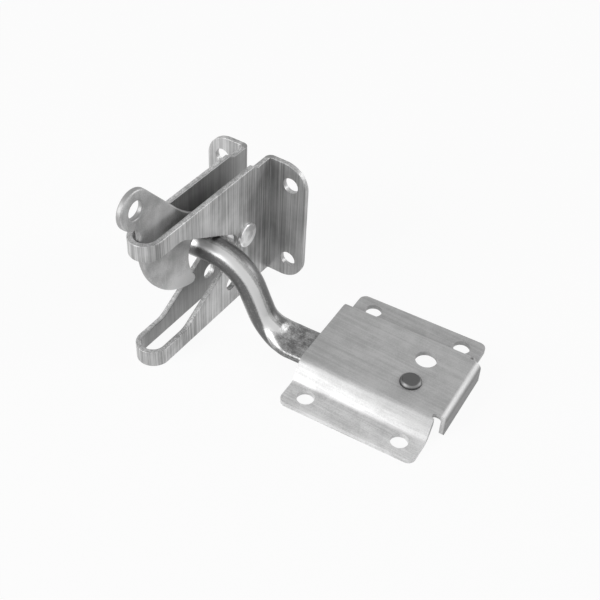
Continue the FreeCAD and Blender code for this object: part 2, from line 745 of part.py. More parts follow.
def hat_outline(sketch):
    """Section of the plate: a flange, a sloping wall, the channel and back down again."""
    gauge, bend, slope = "dims.strike_gauge", "dims.strike_bend", "dims.channel_slope"
    outer = f"({gauge} + {bend})"
    edge = "(dims.strike_width / 2)"
    shoulder = f"({edge} - dims.channel_inset)"
    foot = f"({shoulder} + (dims.strike_height - {gauge}) / tan({slope}))"
    foot_bend = f"({foot} + {bend} * tan({slope} / 2))"
    top_bend = f"({shoulder} - {outer} * tan({slope} / 2))"
    outer_sin, outer_rise = f"{outer} * sin({slope})", f"{outer} * (1 - cos({slope}))"
    inner_sin, inner_rise = f"{bend} * sin({slope})", f"{bend} * (1 - cos({slope}))"
    high, under = "dims.strike_height", f"(dims.strike_height - {gauge})"

    def at(side, reach):
        return f"{CHANNEL_MIDDLE} {side} ({reach})"

    outline(sketch, [
        (at("+", edge), "0"),
        (at("+", edge), gauge),
        (at("+", foot_bend), gauge),
        (at("+", f"{foot_bend} - {inner_sin}"), f"{gauge} + {inner_rise}", bend, -1),
        (at("+", f"{top_bend} + {outer_sin}"), f"{high} - {outer_rise}"),
        (at("+", top_bend), high, outer, 1),
        (at("-", top_bend), high),
        (at("-", f"{top_bend} + {outer_sin}"), f"{high} - {outer_rise}", outer, 1),
        (at("-", f"{foot_bend} - {inner_sin}"), f"{gauge} + {inner_rise}"),
        (at("-", foot_bend), gauge, bend, -1),
        (at("-", edge), gauge),
        (at("-", edge), "0"),
        (at("-", foot_bend), "0"),
        (at("-", f"{foot_bend} - {outer_sin}"), outer_rise, outer, 1),
        (at("-", f"{top_bend} + {inner_sin}"), f"{under} - {inner_rise}"),
        (at("-", top_bend), under, bend, -1),
        (at("+", top_bend), under),
        (at("+", f"{top_bend} + {inner_sin}"), f"{under} - {inner_rise}", bend, -1),
        (at("+", f"{foot_bend} - {outer_sin}"), outer_rise),
        (at("+", foot_bend), "0", outer, 1),
    ])


PIECES = [
    make_catch(),
    make_rivet(),
    make_spacer("spacer_near", ""),
    make_spacer("spacer_far", "-"),
    make_pawl(),
    make_bar(),
    make_pin(),
    make_strike_plate(),
]
doc.recompute()

for item in doc.Objects:
    if "Invalid" in item.State or "Error" in item.State:
        raise RuntimeError(f"{item.Name} is {item.State}")
for piece in PIECES:
    if piece.Shape.isNull() or not piece.Shape.isValid():
        raise RuntimeError(f"{piece.Label} has no sound shape")

os.makedirs("parts", exist_ok=True)
for piece in PIECES:
    piece.Shape.exportStep(f"parts/{piece.Label}.step")
    box = piece.Shape.BoundBox
    print(piece.Label, len(piece.Shape.Solids), round(piece.Shape.Volume, 1),
          [round(edge, 2) for edge in (box.XMin, box.XMax, box.YMin, box.YMax, box.ZMin, box.ZMax)])
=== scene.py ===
import math

import bmesh
import bpy
import numpy as np
from mathutils import Matrix, Vector


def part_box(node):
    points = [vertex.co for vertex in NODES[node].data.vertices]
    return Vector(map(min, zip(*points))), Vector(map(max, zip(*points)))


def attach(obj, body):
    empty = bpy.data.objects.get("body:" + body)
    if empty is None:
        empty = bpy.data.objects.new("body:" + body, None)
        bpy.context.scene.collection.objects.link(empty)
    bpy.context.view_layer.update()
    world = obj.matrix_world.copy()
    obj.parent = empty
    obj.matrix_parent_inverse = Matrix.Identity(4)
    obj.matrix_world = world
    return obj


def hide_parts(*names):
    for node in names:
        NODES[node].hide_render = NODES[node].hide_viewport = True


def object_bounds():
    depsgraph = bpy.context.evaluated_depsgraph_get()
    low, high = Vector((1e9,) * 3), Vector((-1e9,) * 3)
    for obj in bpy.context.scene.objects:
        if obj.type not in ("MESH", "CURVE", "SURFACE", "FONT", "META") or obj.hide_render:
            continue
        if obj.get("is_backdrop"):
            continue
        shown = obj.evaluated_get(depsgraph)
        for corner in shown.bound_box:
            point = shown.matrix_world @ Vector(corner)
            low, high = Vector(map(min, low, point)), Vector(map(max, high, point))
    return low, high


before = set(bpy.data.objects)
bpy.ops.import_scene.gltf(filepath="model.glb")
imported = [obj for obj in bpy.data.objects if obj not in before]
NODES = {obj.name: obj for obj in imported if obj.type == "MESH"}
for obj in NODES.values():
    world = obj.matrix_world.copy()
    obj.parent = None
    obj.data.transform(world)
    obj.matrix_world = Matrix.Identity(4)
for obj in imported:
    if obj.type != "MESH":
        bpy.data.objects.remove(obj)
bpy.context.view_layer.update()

bl_info = {
    "name": "Gate Latch Finishes",
    "version": (1, 0, 0),
    "blender": (4, 5, 0),
    "location": "3D View > Sidebar > Gate Latch",
    "description": "Dresses a self-locking gate latch in brushed, tumbled and polished steel",
    "category": "Object",
}

MM = 0.001

# The bar's mesh: rings along it, points around it, rings in its half round end, and the chamfer behind
BAR_STATIONS = 360
BAR_AROUND = 144
BAR_END_RINGS = 24
BAR_CHAMFER = 0.8 * MM

# The plate's mesh: what counts as one point, as too short an edge, as flat and as sharp, and its edge round
DOUBLES = 0.002 * MM
SHORTEST_EDGE = 0.02 * MM
FLAT_ANGLE = math.radians(0.6)
SHARP_ANGLE = math.radians(35)
PLATE_ROUND = 0.35 * MM

# Where a painted change of grey begins and ends on a piece. On the catch, where painted shade lies: across,
# to the arms' inner faces;
# forward, to the straps; forward, past the ears; across, from an arm out along its ear
ARM_INSIDE = (5.3 * MM, 6.6 * MM)
TO_STRAPS = (78.0 * MM, 83.0 * MM)
PAST_EAR = (2.7 * MM, 4.0 * MM)
ALONG_EAR = (8.0 * MM, 9.2 * MM)

# On the pawl, where painted shade and light lie: from the middle of its thickness to its faces, as shares of
# half of it, for the shaded rim; up from the hook, where the painted light fades
RIM_SHARES = (0.35, 0.85)
UP_FROM_HOOK = (-6.0 * MM, 16.0 * MM)

# On the bar: along it, to the flat end; then strips by their middle, core and reach, in degrees around it
TO_FLAT = (68.0 * MM, 80.0 * MM)
SIDE_STRIP = (176.0, 10.0, 34.0)
TOP_STRIP = (82.0, 4.0, 28.0)
BRIGHT_STRIP = (134.0, 2.0, 23.0)

# On the pin: the lighter ring, partly wear and partly painted highlight, by its depth below the pin's top
RING_BEGINS = (1.0 * MM, 0.7 * MM)
RING_ENDS = (0.4 * MM, 0.1 * MM)

# On the plate: forward, to its near side; along the bar, to the end bend and to the tab
TO_NEAR_SIDE = (50.0 * MM, 56.0 * MM)
TO_END_BEND = (124.6 * MM, 125.6 * MM)
TO_TAB = (126.6 * MM, 127.6 * MM)

# The stage, in metres and watts, with the camera's sensor in millimetres. FLOOR_WHITE is how much of the
# floor shows plain white, without shadow
FLOOR_SIDE = 6.0
FLOOR_WHITE = 0.93
SOFT_LIGHT = 0.3
KEY_LAMP = {"place": (1.15, -0.48, 0.42), "size": 0.9, "power": 12.5}
RIM_LAMP = {"place": (-0.75, 0.85, 0.6), "size": 0.4, "power": 4.0}
SENSOR_WIDTH = 36.0


class Reading:
    """A shader value. Sums, differences and products of readings add Math nodes."""

    def __init__(self, finish, socket):
        self.finish = finish
        self.socket = socket

    def maths(self, operation, first, second):
        return self.finish.node("ShaderNodeMath", {"operation": operation}, {0: first, 1: second})

    def __add__(self, other):
        return self.maths("ADD", self, other)

    __radd__ = __add__

    def __sub__(self, other):
        return self.maths("SUBTRACT", self, other)

    def __rsub__(self, other):
        return self.maths("SUBTRACT", other, self)

    def __mul__(self, other):
        return self.maths("MULTIPLY", self, other)

    __rmul__ = __mul__

    def size(self):
        """The value without its sign."""
        return self.maths("ABSOLUTE", self, 0.0)

    def rise(self, low, high):
        """0 below low, 1 above high, and a smooth step between them."""
        return self.finish.node(
            "ShaderNodeMapRange",
            {"interpolation_type": "SMOOTHSTEP"},
            {"Value": self, "From Min": low, "From Max": high},
        )


class Finish:
    """One metal finish, put together from shader nodes."""

    def __init__(self, name, metallic):
        self.material = bpy.data.materials.new(name)
        self.material.use_nodes = True
        self.tree = self.material.node_tree
        self.shader = self.tree.nodes["Principled BSDF"]
        self.shader.inputs["Metallic"].default_value = metallic
        self.place = self.node("ShaderNodeTexCoord", {}, {}, "Object")

    def follow(self, attribute):
        """Patterns from here on lie on a vector attribute of the piece, not on its Object coordinates."""
        self.place = self.node("ShaderNodeAttribute", {"attribute_name": attribute}, {}, "Vector")

    def feed(self, socket, value):
        """Links a reading to a socket, or writes a plain value into it."""
        if isinstance(value, Reading):
            self.tree.links.new(value.socket, socket)
        else:
            socket.default_value = value

    def node(self, kind, settings, inputs, output=0):
        """Makes one node: its settings first, then the values and links of its sockets."""
        made = self.tree.nodes.new(kind)
        for key, value in settings.items():
            setattr(made, key, value)
        for key, value in inputs.items():
            self.feed(made.inputs[key], value)
        return Reading(self, made.outputs[output])

    def grain(self, scale, detail, roughness=0.55, turn=(0.0, 0.0, 0.0)):
        """Noise from 0 to 1 over the piece, with scale counts of its cells per metre along X, Y and Z."""
        stretching = {"Vector": self.place, "Rotation": turn, "Scale": scale}
        stretched = self.node("ShaderNodeMapping", {}, stretching)
        return self.node(
            "ShaderNodeTexNoise",
            {"noise_dimensions": "3D"},
            {"Vector": stretched, "Scale": 1.0, "Detail": detail, "Roughness": roughness},
        )

    def scratches(self, scale, turn, width):
        """Thin lines, 1 on a line and 0 beside it: where stretched noise passes through its middle value."""
        off_middle = (self.grain(scale, 1.0, 0.4, turn) - 0.5).size()
        return 1.0 - off_middle.rise(0.0, width)

    def along(self, axis):
        """The place on the piece along one axis, in metres."""
        return self.node("ShaderNodeSeparateXYZ", {}, {0: self.place}, axis)

    def strip(self, radius, middle, core, reach):
        """1 on a lengthwise strip of a round bar and 0 beside it: middle is the strip's angle around the
        bar, core its full half width and reach where it ends, all three in degrees."""
        across = self.along("X") * math.cos(math.radians(middle))
        upward = self.along("Z") * math.sin(math.radians(middle))
        edge = radius * math.cos(math.radians(reach))
        return (across + upward).rise(edge, radius * math.cos(math.radians(core)))

    def mixed(self, share, first, second):
        """A colour between first and second."""
        return self.node("ShaderNodeMix", {"data_type": "RGBA"}, {0: share, 6: first, 7: second}, 2)

    def close(self, colour, roughness, height, depth):
        """Feeds the shader: colour, roughness and a relief of depth metres from height, which runs 0 to 1."""
        self.feed(self.shader.inputs["Base Color"], colour)
        self.feed(self.shader.inputs["Roughness"], roughness)
        relief = self.node("ShaderNodeBump", {}, {"Strength": 1.0, "Distance": depth, "Height": height})
        self.feed(self.shader.inputs["Normal"], relief)
        return self.material


def colour_of(grey):
    """The colour of a plain grey metal."""
    return (grey, grey, grey, 1.0)


def dress(material, *names):
    """Gives one material to every slot of the named CAD nodes."""
    for name in names:
        slots = NODES[name].data.materials
        for index in range(len(slots)):
            slots[index] = material


def new_piece(name, mesh, material, body, node):
    """Puts a finished mesh in the scene with the given finish: it stands for a CAD node, which it hides, and
    moves with that node's body."""
    piece = bpy.data.objects.new(name, mesh)
    bpy.context.scene.collection.objects.link(piece)
    mesh.materials.clear()
    mesh.materials.append(material)
    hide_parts(node)
    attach(piece, body)
    return piece


def rolled_surface(name, rings, attribute, places):
    """Mesh of a closed tube. rings is an array of rings of points, each ring closed on itself; the first and
    last ring are closed by a fan to their own middle. places holds one vector a point for the finish."""
    count, around = rings.shape[:2]
    points = np.concatenate([rings.reshape(-1, 3), [rings[0].mean(axis=0)], [rings[-1].mean(axis=0)]])
    marks = np.concatenate([places.reshape(-1, 3), [places[0].mean(axis=0)], [places[-1].mean(axis=0)]])
    ring, step = np.meshgrid(np.arange(count - 1), np.arange(around), indexing="ij")
    after = (step + 1) % around
    here = ring * around
    there = here + around
    walls = np.stack([here + step, here + after, there + after, there + step], axis=-1).reshape(-1, 4)
    turn = np.arange(around)
    following = (turn + 1) % around
    last = (count - 1) * around
    caps = [np.stack([np.full(around, count * around), following, turn], axis=-1),
            np.stack([np.full(around, count * around + 1), last + turn, last + following], axis=-1)]
    mesh = bpy.data.meshes.new(name)
    mesh.from_pydata(points.tolist(), [], walls.tolist() + caps[0].tolist() + caps[1].tolist())
    mesh.shade_smooth()
    layer = mesh.attributes.new(attribute, "FLOAT_VECTOR", "POINT")
    layer.data.foreach_set("vector", marks.astype(np.float32).ravel())
    mesh.update()
    return mesh


def eased(values, low, high):
    """Smooth step from 0 at low to 1 at high: 3 t squared less 2 t cubed."""
    share = np.clip((values - low) / (high - low), 0.0, 1.0)
    return share * share * (3.0 - 2.0 * share)


def colour_property(name, description, grey):
    """A grey for the panel: near 0 is black and 1 is white."""
    return bpy.props.FloatProperty(
        name=name, description=description, default=grey, min=0.02, max=1.0, subtype="FACTOR"
    )


def roughness_property(value):
    """A roughness for the panel."""
    return bpy.props.FloatProperty(
        name="Roughness", description="How widely the metal spreads a highlight", default=value,
        min=0.05, max=1.0, subtype="FACTOR",
    )


def length_property(name, description, millimetres):
    """A length for the panel, given here in millimetres."""
    return bpy.props.FloatProperty(
        name=name, description=description, default=millimetres * MM, precision=5,
        subtype="DISTANCE", unit="LENGTH",
    )


class CatchLook(bpy.types.PropertyGroup):
    dark: colour_property("Dark lines", "Grey of the deepest brush lines", 0.26)
    light: colour_property("Light lines", "Grey of the brightest brush lines", 0.70)
    roughness: roughness_property(0.40)
    lines: bpy.props.FloatProperty(
        name="Brush lines", description="Brush lines per metre across the sheet", default=2200.0,
        min=100.0, max=6000.0,
    )


class RivetLook(bpy.types.PropertyGroup):
    dark: colour_property("Dark", "Grey of the hammered patches", 0.75)
    light: colour_property("Light", "Grey of the bright patches", 1.0)
    roughness: roughness_property(0.34)


class PawlLook(bpy.types.PropertyGroup):
    dark: colour_property("Dark", "Grey of the dull patches", 0.34)
    light: colour_property("Light", "Grey of the bright patches", 0.72)
    roughness: roughness_property(0.44)


class BarLook(bpy.types.PropertyGroup):
    dark: colour_property("Dark", "Grey of the darker metal", 0.13)
    light: colour_property("Light", "Grey of the polished metal", 0.62)
    roughness: roughness_property(0.38)


class BarShape(bpy.types.PropertyGroup):
    diameter: length_property("Diameter", "Thickness of the round bar", 12.7)
    start_height: length_property("Start height", "Height of the axis in the catch, above the floor", 39.818)
    end_height: length_property("End height", "Height of the round bar's axis beside the gate's plate", 6.65)
    tail: length_property("Tail", "Length of the bar behind the middle of the catch", 16.0)
    drop_start: length_property("Drop start", "Where the level axis would meet the sloping one", 20.5)
    drop_slope: bpy.props.FloatProperty(
        name="Drop slope", description="Slope of the bar between its bends", default=math.radians(65.9),
        subtype="ANGLE", unit="ROTATION",
    )
    upper_bend: length_property("Upper bend", "Radius of the first bend", 24.0)
    lower_bend: length_property("Lower bend", "Radius of the second bend", 15.0)
    spread_from: length_property("Spread from", "Where the bar begins to widen", 31.0)
    spread_to: length_property("Spread to", "Where the bar has its full width", 50.0)
    round_to: length_property("Round to", "Where the forged shoulder begins, along the bar", 40.5)
    flat_from: length_property("Flat from", "Where the forged shoulder ends", 51.0)
    flat_to: length_property("Flat to", "Where the flat end stops", 115.93)
    flat_width: length_property("Flat width", "Width of the flat end", 19.6)
    flat_aside: length_property("Flat aside", "Shift of the flat end to the near side", 0.8)
    flat_thickness: length_property("Flat thickness", "Thickness of the flat end", 5.9)
    flat_height: length_property("Flat height", "Height of the middle of the flat end above the floor", 6.12)
    squareness: bpy.props.FloatProperty(
        name="Squareness", description="Power of the flat end's section: 2 is an ellipse", default=3.4,
        min=2.0, max=12.0,
    )
    dent_depth: length_property("Dent depth", "Depth of the dent where the shoulder was struck", 0.35)
    dent_along: length_property("Dent along", "Place of the dent along the bar", 45.5)
    dent_across: length_property("Dent across", "Place of the dent across the bar, to the far side", -1.5)
    dent_reach: length_property("Dent reach", "How far the dent spreads", 5.0)


class PinLook(bpy.types.PropertyGroup):
    dark: colour_property("Dark", "Grey of the pin's end", 0.10)
    # The lighter chamfer grey is partly wear and partly painted highlight
    light: colour_property("Light", "Grey of the worn chamfer", 0.22)
    roughness: roughness_property(0.42)


class StrikeLook(bpy.types.PropertyGroup):
    dark: colour_property("Dark", "Grey of the darker clouds", 0.37)
    light: colour_property("Light", "Grey of the lighter clouds", 0.51)
    bright: colour_property("Bright", "Grey of the near side and the end bend", 0.80)
    roughness: roughness_property(0.56)


class GatePlace(bpy.types.PropertyGroup):
    forward: length_property("Forward", "Where the bar crosses the middle of the catch", 43.2)
    floor: length_property("Floor", "Height of the floor", -34.25)
    turn: bpy.props.FloatProperty(
        name="Turn", description="Turn of the gate side beside the catch", default=math.radians(3.77),
        subtype="ANGLE", unit="ROTATION",
    )


class StageLook(bpy.types.PropertyGroup):
    camera_place: bpy.props.FloatVectorProperty(
        name="Camera", description="Where the camera stands", default=(0.327492, 0.228293, 0.309672),
        subtype="TRANSLATION", unit="LENGTH",
    )
    heading: bpy.props.FloatProperty(
        name="Heading", description="Compass angle of the view, from +X towards +Y",
        default=math.radians(-148.27), subtype="ANGLE", unit="ROTATION",
    )
    dip: bpy.props.FloatProperty(
        name="Dip", description="How far the view looks down", default=math.radians(42.752), subtype="ANGLE",
        unit="ROTATION",
    )
    roll: bpy.props.FloatProperty(
        name="Roll", description="Turn of the camera about its own view", default=math.radians(3.18),
        subtype="ANGLE", unit="ROTATION",
    )
    lens: bpy.props.FloatProperty(
        name="Lens", description="Focal length on a 36 mm sensor", default=64.17,
        min=10.0, max=300.0, unit="CAMERA",
    )


def brushed_sheet(look):
    """Stainless sheet with brush lines up and down, over soft bands and faint clouds. The arms' inner faces,
    the ears, the corners beside them and the straps' front are darkened with painted shade."""
    finish = Finish("brushed_sheet", 0.55)
    lines = finish.grain((look.lines, look.lines, 18.0), detail=4.0)
    bands = finish.grain((420.0, 420.0, 6.0), detail=2.0)
    clouds = finish.grain((70.0, 70.0, 55.0), detail=4.0)
    # Painted shade: darker on the arms' inner faces, near the ears, in the corners where ears meet arms and
    # on the straps' front
    inner = 1.0 - finish.along("Y").size().rise(*ARM_INSIDE)
    behind_straps = 1.0 - finish.along("X").rise(*TO_STRAPS)
    near_ear = 1.0 - finish.along("X").rise(*PAST_EAR)
    corner = near_ear * (1.0 - finish.along("Y").size().rise(*ALONG_EAR))
    painted_shade = inner * behind_straps * 0.7 + corner * 0.65 + near_ear * 0.25 + (1.0 - behind_straps) * 0.25
    shade = (lines * 0.5 + bands * 0.2 + clouds * 0.3).rise(0.38, 0.62) * (1.0 - painted_shade)
    return finish.close(
        finish.mixed(shade, colour_of(look.dark), colour_of(look.light)),
        look.roughness + (lines - 0.5) * 0.2,
        lines,
        depth=0.04 * MM,
    )


def hammered_rivet(look):
    """A bright rivet head with soft hammered patches."""
    finish = Finish("hammered_rivet", 0.9)
    patches = finish.grain((300.0, 300.0, 300.0), detail=2.0)
    return finish.close(
        finish.mixed(patches.rise(0.38, 0.62), colour_of(look.dark), colour_of(look.light)),
        look.roughness + (patches - 0.5) * 0.25,
        patches,
        depth=0.12 * MM,
    )


def tumbled_plate(look):
    """Tumbled metal: fine speckle, soft clouds and a few short scratches. The rim between the two faces is
    darkened with painted shade, and the lower end with the hook is brightened with painted light."""
    finish = Finish("tumbled_plate", 0.55)
    speckle = finish.grain((2600.0, 2600.0, 2600.0), detail=2.0)
    clouds = finish.grain((90.0, 90.0, 90.0), detail=4.0)
    marks = finish.scratches((500.0, 500.0, 60.0), turn=(0.0, 0.5, 0.0), width=0.012)
    low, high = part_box("pawl")
    half = (high.y - low.y) / 2
    off_middle = (finish.along("Y") - (high.y + low.y) / 2).size()
    # Painted shade on the rim between the faces, and painted light on the lower end with the hook
    rim = 1.0 - off_middle.rise(half * RIM_SHARES[0], half * RIM_SHARES[1])
    painted_light_on_hook = 1.0 - finish.along("Z").rise(*UP_FROM_HOOK)
    tumbled = (speckle * 0.35 + clouds * 0.65).rise(0.36, 0.64)
    shade = tumbled * 0.7 + marks * 0.25 - rim * 0.8 + painted_light_on_hook * 0.55
    return finish.close(
        finish.mixed(shade, colour_of(look.dark), colour_of(look.light)),
        look.roughness + (clouds - 0.5) * 0.2,
        speckle - marks * 0.5,
        depth=0.03 * MM,
    )


def bar_axis(shape, length):
    """Middle line of the bar as a function of the length walked along it: level, an arc down, a straight
    slope, an arc back, and level again. Gives the way along, the height, and the slope angle there."""
    fall = shape.start_height - shape.end_height
    slope = shape.drop_slope
    upper = shape.upper_bend * math.tan(slope / 2)
    lower = shape.lower_bend * math.tan(slope / 2)
    first = shape.tail + shape.drop_start - upper
    second = first + shape.upper_bend * slope
    third = second + fall / math.sin(slope) - upper - lower
    fourth = third + shape.lower_bend * slope
    turned_down = np.clip((length - first) / (second - first), 0, 1)
    turned_back = np.clip((length - third) / (fourth - third), 0, 1)
    angle = slope * (turned_down - turned_back)
    step = np.diff(length, prepend=length[0])
    middle = (angle + np.concatenate([[angle[0]], angle[:-1]])) / 2
    along = -shape.tail + np.cumsum(step * np.cos(middle))
    height = shape.start_height - np.cumsum(step * np.sin(middle))
    return along, height, angle


def forged_bar(shape, stations, around):
    """Rings of the bar. The section is the superellipse |x / w| ** p + |y / h| ** p = 1 carried along the
    bar's axis: a circle at first, then eased wider, past the shoulder lower and squarer too, and closed by an
    end that is a half round from above. A shallow dent lies where the shoulder was struck."""
    radius = shape.diameter / 2
    fall = shape.start_height - shape.end_height
    slope = shape.drop_slope
    end_radius = shape.flat_width / 2
    saved = (shape.upper_bend + shape.lower_bend) * (2 * math.tan(slope / 2) - slope)
    total = shape.tail + shape.flat_to + fall / math.sin(slope) - fall / math.tan(slope) - saved
    straight = np.linspace(BAR_CHAMFER, total - end_radius, stations)
    # Angles around the half round end, from just past its start to just short of its tip
    quarter = np.linspace(0.08, np.pi / 2 - 0.02, BAR_END_RINGS)
    length = np.concatenate([[0.0], straight, total - end_radius + np.sin(quarter) * end_radius])
    along, height, angle = bar_axis(shape, length)
    flat = eased(along, shape.round_to, shape.flat_from)
    spread = eased(along, shape.spread_from, shape.spread_to)
    half_width = radius + (end_radius - radius) * spread
    half_height = radius + (shape.flat_thickness / 2 - radius) * flat
    height = height + (shape.flat_height - shape.end_height) * flat
    power = 2.0 + (shape.squareness - 2.0) * flat ** 2
    # The clip stays short of 1, so that the last ring keeps some width
    past = np.clip((along - shape.flat_to + end_radius) / end_radius, 0.0, 0.9999)
    half_width = half_width * np.sqrt(1.0 - past ** 2)
    half_width[0] -= BAR_CHAMFER
    half_height[0] -= BAR_CHAMFER
    turn = np.linspace(0.0, 2 * np.pi, around, endpoint=False)[None, :]
    share = (2.0 / power)[:, None]
    across = half_width[:, None] * np.sign(np.cos(turn)) * np.abs(np.cos(turn)) ** share
    rise = half_height[:, None] * np.sign(np.sin(turn)) * np.abs(np.sin(turn)) ** share
    across = across - shape.flat_aside * spread[:, None]
    away = (along[:, None] - shape.dent_along) ** 2 + (across - shape.dent_across) ** 2
    rise = rise - shape.dent_depth * np.exp(-away / shape.dent_reach ** 2) * (rise > 0)
    ahead = along[:, None] + rise * np.sin(angle)[:, None]
    up = height[:, None] + rise * np.cos(angle)[:, None]
    rings = np.stack([ahead, across, up], axis=-1)
    places = np.stack([across, np.repeat(length[:, None], around, axis=1), rise], axis=-1)
    return rings, places


def beside_gate(points, gate):
    """Moves points from the gate's own frame (along the bar, across it, up from the floor) to the latch's."""
    turn = gate.turn
    along, across, up = points[..., 0], points[..., 1], points[..., 2]
    return np.stack(
        [gate.forward - math.sin(turn) * along - math.cos(turn) * across,
         math.cos(turn) * along - math.sin(turn) * across,
         up + gate.floor], axis=-1
    )


def rounded_copy(name, node, width):
    """Copy of a CAD node's mesh with its doubles and shortest edges merged, its flat faces joined and its
    sharp edges beveled."""
    mesh = NODES[node].data.copy()
    mesh.name = name
    shell = bmesh.new()
    shell.from_mesh(mesh)
    bmesh.ops.remove_doubles(shell, verts=shell.verts, dist=DOUBLES)
    bmesh.ops.dissolve_limit(
        shell, angle_limit=FLAT_ANGLE, verts=shell.verts, edges=shell.edges, use_dissolve_boundaries=False
    )
    bmesh.ops.remove_doubles(shell, verts=shell.verts, dist=SHORTEST_EDGE)
    walls = [edge for edge in shell.edges if len(edge.link_faces) == 2]
    sharp = [edge for edge in walls if edge.calc_face_angle() > SHARP_ANGLE]
    bmesh.ops.bevel(
        shell, geom=sharp, offset=width, segments=3, profile=0.5, affect="EDGES", clamp_overlap=True
    )
    shell.to_mesh(mesh)
    shell.free()
    mesh.shade_smooth()
    mesh.update()
    return mesh


def polished_rod(look, radius):
    """Polished rod with light lengthwise scratches and speckle, and a mottled flat end. Two dark strips and
    a bright one are painted along the round part, where the photograph shows reflections."""
    finish = Finish("polished_rod", 0.9)
    finish.follow("bar_place")
    lines = finish.grain((1400.0, 120.0, 1400.0), detail=3.0)
    speckle = finish.grain((1500.0, 1500.0, 1500.0), detail=2.0)
    round_part = 1.0 - finish.along("Y").rise(*TO_FLAT)
    dark_strips = finish.strip(radius, *SIDE_STRIP) + finish.strip(radius, *TOP_STRIP)
    bright_strip = finish.strip(radius, *BRIGHT_STRIP)
    clouds = finish.grain((240.0, 240.0, 240.0), detail=3.0)
    flat_part = (1.0 - round_part) * (clouds.rise(0.35, 0.65) * 0.3 - 0.5)
    scratched = (lines * 0.5 + speckle * 0.5).rise(0.3, 0.7) * 0.45 + 0.3
    shade = scratched + (bright_strip * 0.85 - dark_strips * 0.6) * round_part + flat_part
    return finish.close(
        finish.mixed(shade, colour_of(look.dark), colour_of(look.light)),
        look.roughness + (lines - 0.5) * 0.15,
        speckle,
        depth=0.02 * MM,
    )


def dark_pin(look):
    """A dark pin with a lighter ring on its chamfer, partly wear and partly painted highlight."""
    finish = Finish("dark_pin", 0.9)
    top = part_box("pivot_pin")[1].z
    patches = finish.grain((700.0, 700.0, 700.0), detail=3.0)
    ring_begun = finish.along("Z").rise(*[top - depth for depth in RING_BEGINS])
    ring_ended = finish.along("Z").rise(*[top - depth for depth in RING_ENDS])
    # The lighter ring on the chamfer: partly wear, partly painted highlight
    worn = ring_begun * (1.0 - ring_ended)
    return finish.close(
        finish.mixed(worn + patches * 0.12, colour_of(look.dark), colour_of(look.light)),
        look.roughness + (patches - 0.5) * 0.3,
        patches,
        depth=0.03 * MM,
    )


def satin_plate(look, gate):
    """Satin sheet with soft mottling and faint streaks along its length. The near side and the end bend are
    painted brighter, and the turned-down tab darker, as the light falls in the photograph."""
    finish = Finish("satin_plate", 0.5)
    clouds = finish.grain((110.0, 110.0, 110.0), detail=5.0)
    streaks = finish.grain((900.0, 25.0, 900.0), detail=3.0, turn=(0.0, 0.0, -gate.turn))
    speckle = finish.grain((1800.0, 1800.0, 1800.0), detail=2.0)
    near_side = finish.along("X").rise(*TO_NEAR_SIDE)
    shade = (clouds * 0.4 + streaks * 0.35 + speckle * 0.25).rise(0.36, 0.64)
    way = finish.along("Y") * math.cos(gate.turn) + (gate.forward - finish.along("X")) * math.sin(gate.turn)
    tab = way.rise(*TO_TAB)
    end_bend = way.rise(*TO_END_BEND) * (1.0 - tab)
    plain = finish.mixed(shade, colour_of(look.dark), colour_of(look.light))
    lit = near_side * (1.0 - tab) * (shade * 0.6 + 0.35) + end_bend * 0.5
    shaded = finish.mixed(tab * 0.6, plain, colour_of(look.dark * 0.4))
    return finish.close(
        finish.mixed(lit, shaded, colour_of(look.bright)),
        look.roughness + (clouds - 0.5) * 0.25,
        speckle + clouds,
        depth=0.04 * MM,
    )


class GATELATCH_OT_catch(bpy.types.Operator):
    """Brushed finish of the folded catch"""

    bl_idname = "gatelatch.dress_catch"
    bl_label = "Catch Finish"

    def execute(self, context):
        dress(brushed_sheet(context.scene.latch_catch), "catch_body")
        return {"FINISHED"}


class GATELATCH_OT_rivet(bpy.types.Operator):
    """Hammered finish of the rivet and the spacers on its shank"""

    bl_idname = "gatelatch.dress_rivet"
    bl_label = "Rivet Finish"

    def execute(self, context):
        dress(hammered_rivet(context.scene.latch_rivet), "rivet", "spacer_near", "spacer_far")
        return {"FINISHED"}


class GATELATCH_OT_pawl(bpy.types.Operator):
    """Tumbled finish of the pawl"""

    bl_idname = "gatelatch.dress_pawl"
    bl_label = "Pawl Finish"

    def execute(self, context):
        dress(tumbled_plate(context.scene.latch_pawl), "pawl")
        return {"FINISHED"}


class GATELATCH_OT_bar(bpy.types.Operator):
    """The bent strike bar, swept along its bends, and its polished finish"""

    bl_idname = "gatelatch.dress_bar"
    bl_label = "Bar Finish"

    def execute(self, context):
        shape = context.scene.latch_bar_shape
        rings, places = forged_bar(shape, BAR_STATIONS, BAR_AROUND)
        rings = beside_gate(rings, context.scene.latch_gate)
        mesh = rolled_surface("bent_bar", rings, "bar_place", places)
        polished = polished_rod(context.scene.latch_bar, shape.diameter / 2)
        new_piece("bent_bar", mesh, polished, "bar", "strike_bar")
        return {"FINISHED"}


class GATELATCH_OT_pin(bpy.types.Operator):
    """Dark finish of the pin that holds the bar in its channel"""

    bl_idname = "gatelatch.dress_pin"
    bl_label = "Pin Finish"

    def execute(self, context):
        dress(dark_pin(context.scene.latch_pin), "pivot_pin")
        return {"FINISHED"}


class GATELATCH_OT_strike(bpy.types.Operator):
    """The gate's plate with rounded edges, and its satin finish"""

    bl_idname = "gatelatch.dress_strike"
    bl_label = "Plate Finish"

    def execute(self, context):
        mesh = rounded_copy("gate_plate", "strike_plate", PLATE_ROUND)
        satin = satin_plate(context.scene.latch_strike, context.scene.latch_gate)
        piece = new_piece("gate_plate", mesh, satin, "strike", "strike_plate")
        even = piece.modifiers.new("even", "WEIGHTED_NORMAL")
        even.weight = 80
        return {"FINISHED"}


def area_lamp(name, target, place, size, power):
    """A soft square lamp at place that faces target."""
    lamp = bpy.data.lights.new(name, "AREA")
    lamp.size = size
    lamp.energy = power
    stand = bpy.data.objects.new(name, lamp)
    bpy.context.scene.collection.objects.link(stand)
    stand.location = place
    stand.rotation_euler = (Vector(target) - Vector(place)).to_track_quat("-Z", "Y").to_euler()


